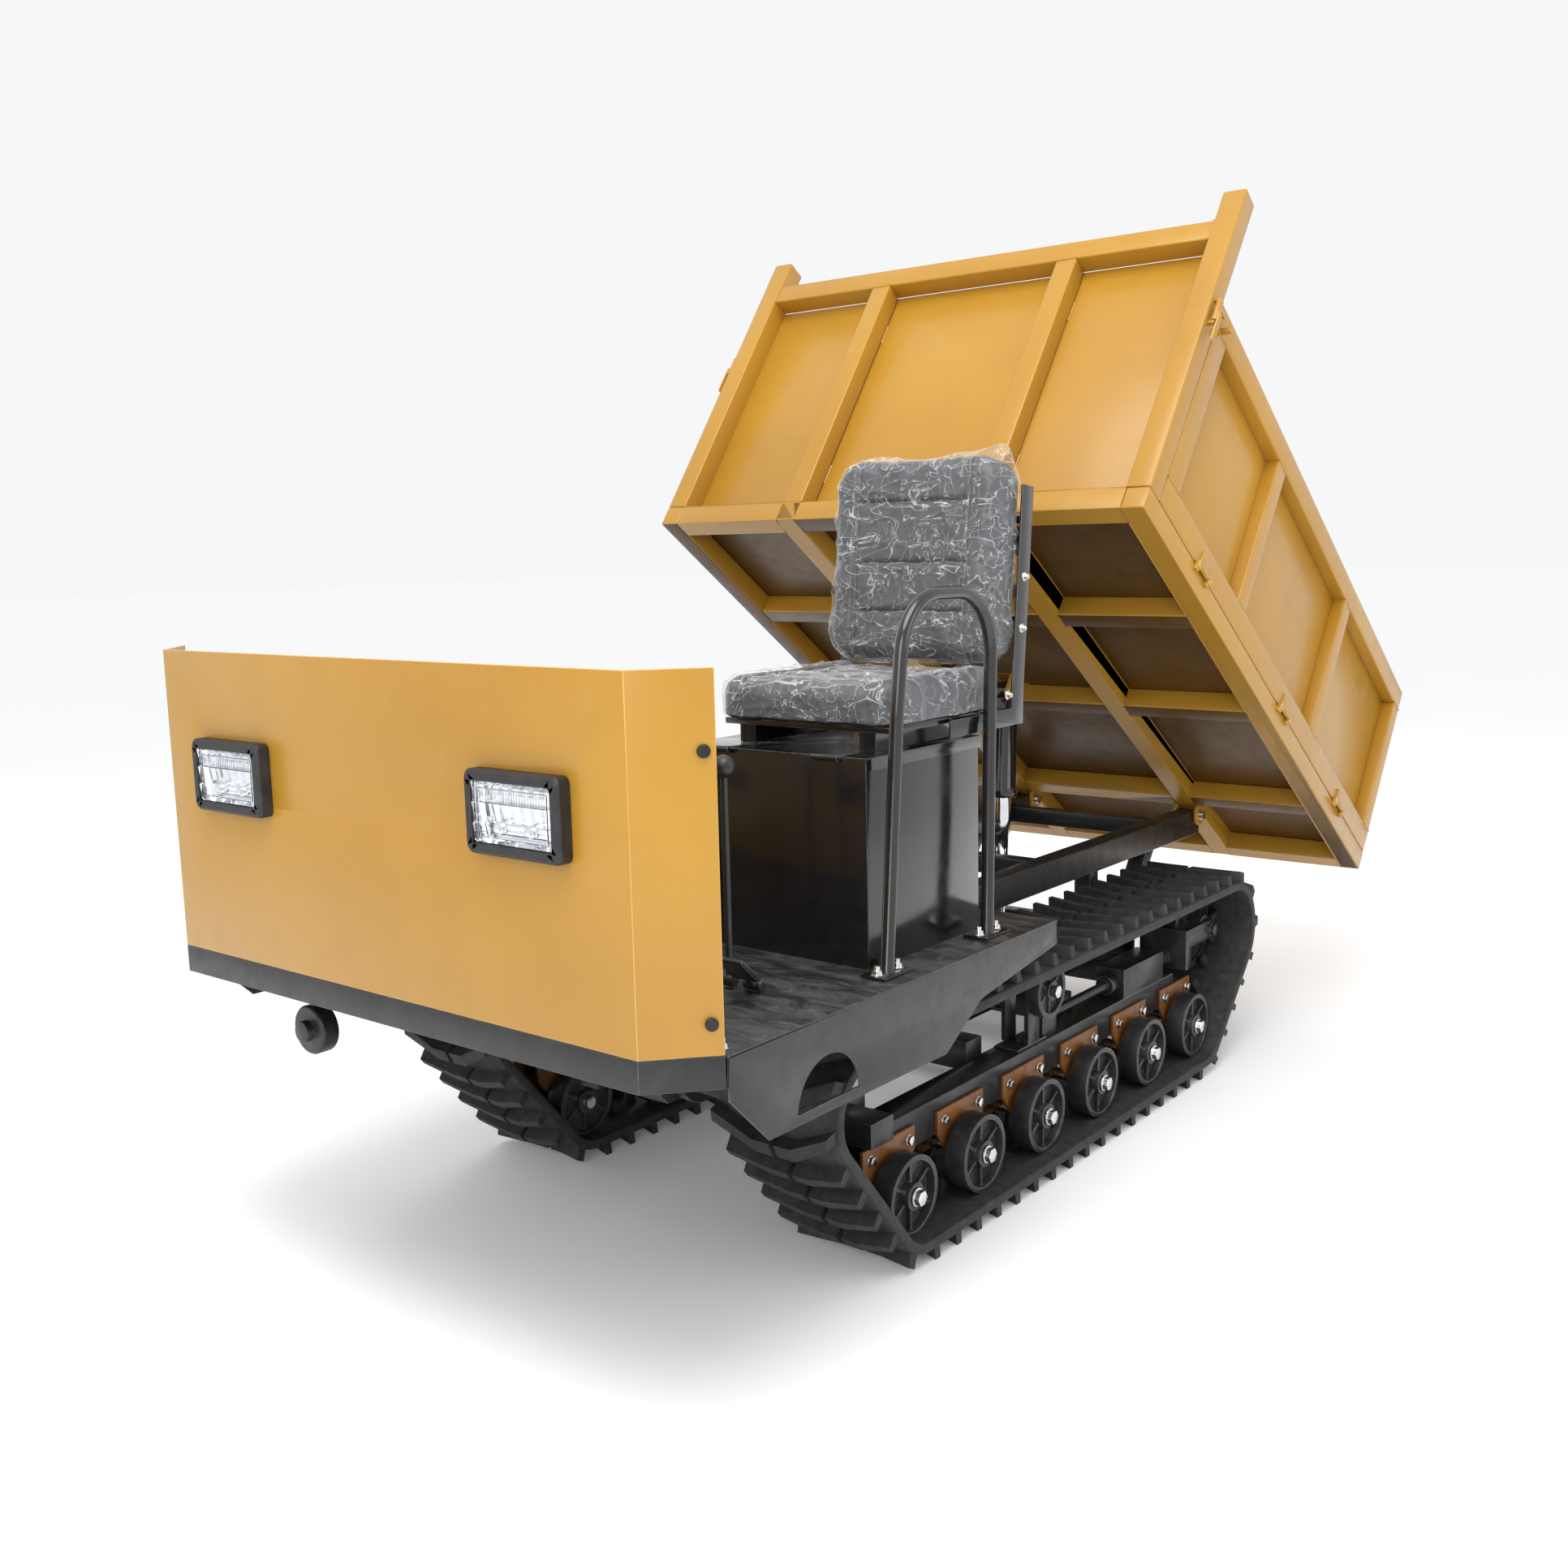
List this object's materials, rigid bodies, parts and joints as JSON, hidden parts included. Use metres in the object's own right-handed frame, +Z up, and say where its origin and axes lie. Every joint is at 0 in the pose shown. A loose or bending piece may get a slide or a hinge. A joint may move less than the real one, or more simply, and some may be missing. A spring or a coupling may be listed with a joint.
{
  "type": "tracked tipping dumper",
  "caption": "Ride-on crawler dumper: two rubber tracks, driver deck with seat behind a flat lamp-fitted cowl, and a hydraulic tipping bed with drop side gates and tailgate.",
  "frame": {"origin": "bottom centre of the bounding box, on the ground", "axes": "+Z up, -Y is the front (driver faces -Y), +X is the driver's left"},
  "size_m": [1.54, 3.5752, 2.3391],
  "materials": {
    "yellow_paint": "satin sprayed enamel",
    "black_paint": "satin sprayed enamel",
    "gloss_black": "gloss enamel",
    "orange_primer": "brush-marked enamel",
    "track_rubber": "matt, dusty",
    "roller_black": "satin enamel over cast iron",
    "zinc_plate": "bright zinc plating",
    "chrome_rod": "polished hard chrome",
    "black_plastic": "fine textured",
    "clear_lens": "clear moulded",
    "grey_vinyl": "grained vinyl under clear film",
    "iron_black": "painted casting",
    "bolt_black": "black oxide"
  },
  "bodies": {
    "chassis": {"chassis_frame": "black_paint", "bed_subframe": "black_paint", "operator_deck": "black_paint", "front_cowl": "yellow_paint", "cowl_skirt": "black_paint", "cowl_bolts": "bolt_black", "headlight_housings": "black_plastic", "headlight_lenses": "clear_lens", "horn": "black_paint", "engine_box": "gloss_black", "engine": "iron_black", "hydraulic_tank": "black_paint", "transmission": "iron_black", "grab_rail": "gloss_black", "zinc_fasteners": "zinc_plate", "roller_brackets": "orange_primer", "track_beam_left": "black_paint", "track_beam_right": "black_paint", "rubber_track_left": "track_rubber", "rubber_track_right": "track_rubber"},
    "bed": {"bed_frame": "yellow_paint", "headboard": "yellow_paint"},
    "side_gate_left": {"side_gate_left": "yellow_paint"},
    "side_gate_right": {"side_gate_right": "yellow_paint"},
    "tailgate": {"tailgate": "yellow_paint"},
    "side_latch_left": {"side_latch_left": "yellow_paint"},
    "side_latch_right": {"side_latch_right": "yellow_paint"},
    "rear_latch_left": {"rear_latch_left": "yellow_paint"},
    "rear_latch_right": {"rear_latch_right": "yellow_paint"},
    "cylinder_barrel": {"cylinder_barrel": "black_paint"},
    "cylinder_sleeve": {"cylinder_sleeve": "chrome_rod"},
    "cylinder_rod": {"cylinder_rod": "chrome_rod"},
    "seat": {"seat_lid": "gloss_black", "seat_frame": "black_paint", "seat_cushion": "grey_vinyl", "seat_back_cushion": "grey_vinyl"},
    "steering_lever_left": {"steering_lever_left": "black_paint"},
    "steering_lever_right": {"steering_lever_right": "black_paint"},
    "tip_lever": {"tip_lever": "black_paint"},
    "foot_pedal": {"foot_pedal": "black_paint"},
    "sprocket_left": {"sprocket_left": "iron_black"},
    "idler_yoke_left": {"idler_yoke_left": "black_paint"},
    "idler_left": {"idler_left": "roller_black"},
    "carrier_roller_left": {"carrier_roller_left": "roller_black"},
    "track_roller_1_left": {"track_roller_1_left": "roller_black"},
    "track_roller_2_left": {"track_roller_2_left": "roller_black"},
    "track_roller_3_left": {"track_roller_3_left": "roller_black"},
    "track_roller_4_left": {"track_roller_4_left": "roller_black"},
    "track_roller_5_left": {"track_roller_5_left": "roller_black"},
    "track_roller_6_left": {"track_roller_6_left": "roller_black"},
    "sprocket_right": {"sprocket_right": "iron_black"},
    "idler_yoke_right": {"idler_yoke_right": "black_paint"},
    "idler_right": {"idler_right": "roller_black"},
    "carrier_roller_right": {"carrier_roller_right": "roller_black"},
    "track_roller_1_right": {"track_roller_1_right": "roller_black"},
    "track_roller_2_right": {"track_roller_2_right": "roller_black"},
    "track_roller_3_right": {"track_roller_3_right": "roller_black"},
    "track_roller_4_right": {"track_roller_4_right": "roller_black"},
    "track_roller_5_right": {"track_roller_5_right": "roller_black"},
    "track_roller_6_right": {"track_roller_6_right": "roller_black"}
  },
  "joints": [
    {"name": "bed_tip", "type": "hinge", "parent": "chassis", "child": "bed", "pos_m": [0, 1.13462, 0.622], "axis": [-1, 0, 0], "range_deg": [-35.44, 0]},
    {"name": "side_gate_left_fold", "type": "hinge", "parent": "bed", "child": "side_gate_left", "pos_m": [0.7525, 1.17927, 0.68473], "axis": [0, 0.8147, -0.5799], "range_deg": [0, 180]},
    {"name": "side_latch_left_turn", "type": "hinge", "parent": "bed", "child": "side_latch_left", "pos_m": [0.757, 0.19934, 2.0241], "axis": [0, -0.5799, -0.8147], "range_deg": [0, 100]},
    {"name": "rear_latch_left_turn", "type": "hinge", "parent": "tailgate", "child": "rear_latch_left", "pos_m": [0.672, 1.75954, 0.91368], "axis": [0, 0.8147, -0.5799], "range_deg": [0, 90]},
    {"name": "side_gate_right_fold", "type": "hinge", "parent": "bed", "child": "side_gate_right", "pos_m": [-0.7525, 1.17927, 0.68473], "axis": [0, -0.8147, 0.5799], "range_deg": [0, 180]},
    {"name": "side_latch_right_turn", "type": "hinge", "parent": "bed", "child": "side_latch_right", "pos_m": [-0.757, 0.19934, 2.0241], "axis": [0, 0.5799, 0.8147], "range_deg": [0, 100]},
    {"name": "rear_latch_right_turn", "type": "hinge", "parent": "tailgate", "child": "rear_latch_right", "pos_m": [-0.672, 1.75954, 0.91368], "axis": [0, -0.8147, 0.5799], "range_deg": [0, 90]},
    {"name": "tailgate_fold", "type": "hinge", "parent": "bed", "child": "tailgate", "pos_m": [0, 1.45703, 0.4895], "axis": [-1, 0, 0], "range_deg": [0, 90]},
    {"name": "barrel_swing", "type": "hinge", "parent": "bed", "child": "cylinder_barrel", "pos_m": [0, 0.48754, 1.05799], "axis": [-1, 0, 0], "range_deg": [0, 17.72]},
    {"name": "rod_swing", "type": "hinge", "parent": "chassis", "child": "cylinder_rod", "pos_m": [0, 0.44588, 0.25535], "axis": [-1, 0, 0], "range_deg": [-17.72, 0]},
    {"name": "sleeve_slide", "type": "slide", "parent": "cylinder_barrel", "child": "cylinder_sleeve", "axis": [0, -0.0518, -0.9987], "range_m": [-0.2227, 0]},
    {"name": "seat_tilt", "type": "hinge", "parent": "chassis", "child": "seat", "pos_m": [0.425, -1.12538, 1.096], "axis": [1, 0, 0], "range_deg": [0, 60]},
    {"name": "pedal_press", "type": "hinge", "parent": "chassis", "child": "foot_pedal", "pos_m": [0.56, -1.35138, 0.705], "axis": [1, 0, 0], "range_deg": [0, 18], "stiffness_Nm_per_rad": 8, "springref_deg": -8.59},
    {"name": "steering_lever_left_pull", "type": "hinge", "parent": "chassis", "child": "steering_lever_left", "pos_m": [0.507, -1.35738, 0.707], "axis": [-1, 0, 0], "range_deg": [0, 25], "stiffness_Nm_per_rad": 12, "springref_deg": -17.19},
    {"name": "steering_lever_right_pull", "type": "hinge", "parent": "chassis", "child": "steering_lever_right", "pos_m": [0.387, -1.35738, 0.707], "axis": [-1, 0, 0], "range_deg": [0, 25], "stiffness_Nm_per_rad": 12, "springref_deg": -17.19},
    {"name": "tip_lever_swing", "type": "hinge", "parent": "chassis", "child": "tip_lever", "pos_m": [0.17, -1.19738, 0.707], "axis": [-1, 0, 0], "range_deg": [-15, 15], "stiffness_Nm_per_rad": 40},
    {"name": "sprocket_left_spin", "type": "hinge", "parent": "chassis", "child": "sprocket_left", "pos_m": [0.487, -1.08538, 0.396], "axis": [1, 0, 0], "continuous": true},
    {"name": "idler_left_tension", "type": "slide", "parent": "chassis", "child": "idler_yoke_left", "axis": [0, 1, 0], "range_m": [-0.03, 0]},
    {"name": "idler_left_spin", "type": "hinge", "parent": "idler_yoke_left", "child": "idler_left", "pos_m": [0.487, 0.69662, 0.375], "axis": [1, 0, 0], "continuous": true},
    {"name": "carrier_left_spin", "type": "hinge", "parent": "chassis", "child": "carrier_roller_left", "pos_m": [0.487, -0.26038, 0.4286], "axis": [1, 0, 0], "continuous": true},
    {"name": "roller_1_left_spin", "type": "hinge", "parent": "chassis", "child": "track_roller_1_left", "pos_m": [0.487, -0.89238, 0.1424], "axis": [1, 0, 0], "continuous": true},
    {"name": "roller_2_left_spin", "type": "hinge", "parent": "chassis", "child": "track_roller_2_left", "pos_m": [0.487, -0.61038, 0.1424], "axis": [1, 0, 0], "continuous": true},
    {"name": "roller_3_left_spin", "type": "hinge", "parent": "chassis", "child": "track_roller_3_left", "pos_m": [0.487, -0.32838, 0.1424], "axis": [1, 0, 0], "continuous": true},
    {"name": "roller_4_left_spin", "type": "hinge", "parent": "chassis", "child": "track_roller_4_left", "pos_m": [0.487, -0.04638, 0.1424], "axis": [1, 0, 0], "continuous": true},
    {"name": "roller_5_left_spin", "type": "hinge", "parent": "chassis", "child": "track_roller_5_left", "pos_m": [0.487, 0.23562, 0.1424], "axis": [1, 0, 0], "continuous": true},
    {"name": "roller_6_left_spin", "type": "hinge", "parent": "chassis", "child": "track_roller_6_left", "pos_m": [0.487, 0.51762, 0.1424], "axis": [1, 0, 0], "continuous": true},
    {"name": "sprocket_right_spin", "type": "hinge", "parent": "chassis", "child": "sprocket_right", "pos_m": [-0.487, -1.08538, 0.396], "axis": [1, 0, 0], "continuous": true},
    {"name": "idler_right_tension", "type": "slide", "parent": "chassis", "child": "idler_yoke_right", "axis": [0, 1, 0], "range_m": [-0.03, 0]},
    {"name": "idler_right_spin", "type": "hinge", "parent": "idler_yoke_right", "child": "idler_right", "pos_m": [-0.487, 0.69662, 0.375], "axis": [1, 0, 0], "continuous": true},
    {"name": "carrier_right_spin", "type": "hinge", "parent": "chassis", "child": "carrier_roller_right", "pos_m": [-0.487, -0.26038, 0.4286], "axis": [1, 0, 0], "continuous": true},
    {"name": "roller_1_right_spin", "type": "hinge", "parent": "chassis", "child": "track_roller_1_right", "pos_m": [-0.487, -0.89238, 0.1424], "axis": [1, 0, 0], "continuous": true},
    {"name": "roller_2_right_spin", "type": "hinge", "parent": "chassis", "child": "track_roller_2_right", "pos_m": [-0.487, -0.61038, 0.1424], "axis": [1, 0, 0], "continuous": true},
    {"name": "roller_3_right_spin", "type": "hinge", "parent": "chassis", "child": "track_roller_3_right", "pos_m": [-0.487, -0.32838, 0.1424], "axis": [1, 0, 0], "continuous": true},
    {"name": "roller_4_right_spin", "type": "hinge", "parent": "chassis", "child": "track_roller_4_right", "pos_m": [-0.487, -0.04638, 0.1424], "axis": [1, 0, 0], "continuous": true},
    {"name": "roller_5_right_spin", "type": "hinge", "parent": "chassis", "child": "track_roller_5_right", "pos_m": [-0.487, 0.23562, 0.1424], "axis": [1, 0, 0], "continuous": true},
    {"name": "roller_6_right_spin", "type": "hinge", "parent": "chassis", "child": "track_roller_6_right", "pos_m": [-0.487, 0.51762, 0.1424], "axis": [1, 0, 0], "continuous": true}
  ],
  "couplings": [
    {"joint": "barrel_swing", "follows": "bed_tip", "ratio": -0.5},
    {"joint": "rod_swing", "follows": "bed_tip", "ratio": 0.5},
    {"joint": "sleeve_slide", "follows": "bed_tip", "m_per_rad": 0.35992},
    {"joint": "idler_left_spin", "follows": "sprocket_left_spin", "ratio": 0.82645},
    {"joint": "carrier_left_spin", "follows": "sprocket_left_spin", "ratio": 1.4925},
    {"joint": "roller_1_left_spin", "follows": "sprocket_left_spin", "ratio": 1.1364},
    {"joint": "roller_2_left_spin", "follows": "sprocket_left_spin", "ratio": 1.1364},
    {"joint": "roller_3_left_spin", "follows": "sprocket_left_spin", "ratio": 1.1364},
    {"joint": "roller_4_left_spin", "follows": "sprocket_left_spin", "ratio": 1.1364},
    {"joint": "roller_5_left_spin", "follows": "sprocket_left_spin", "ratio": 1.1364},
    {"joint": "roller_6_left_spin", "follows": "sprocket_left_spin", "ratio": 1.1364},
    {"joint": "idler_right_spin", "follows": "sprocket_right_spin", "ratio": 0.82645},
    {"joint": "carrier_right_spin", "follows": "sprocket_right_spin", "ratio": 1.4925},
    {"joint": "roller_1_right_spin", "follows": "sprocket_right_spin", "ratio": 1.1364},
    {"joint": "roller_2_right_spin", "follows": "sprocket_right_spin", "ratio": 1.1364},
    {"joint": "roller_3_right_spin", "follows": "sprocket_right_spin", "ratio": 1.1364},
    {"joint": "roller_4_right_spin", "follows": "sprocket_right_spin", "ratio": 1.1364},
    {"joint": "roller_5_right_spin", "follows": "sprocket_right_spin", "ratio": 1.1364},
    {"joint": "roller_6_right_spin", "follows": "sprocket_right_spin", "ratio": 1.1364}
  ]
}
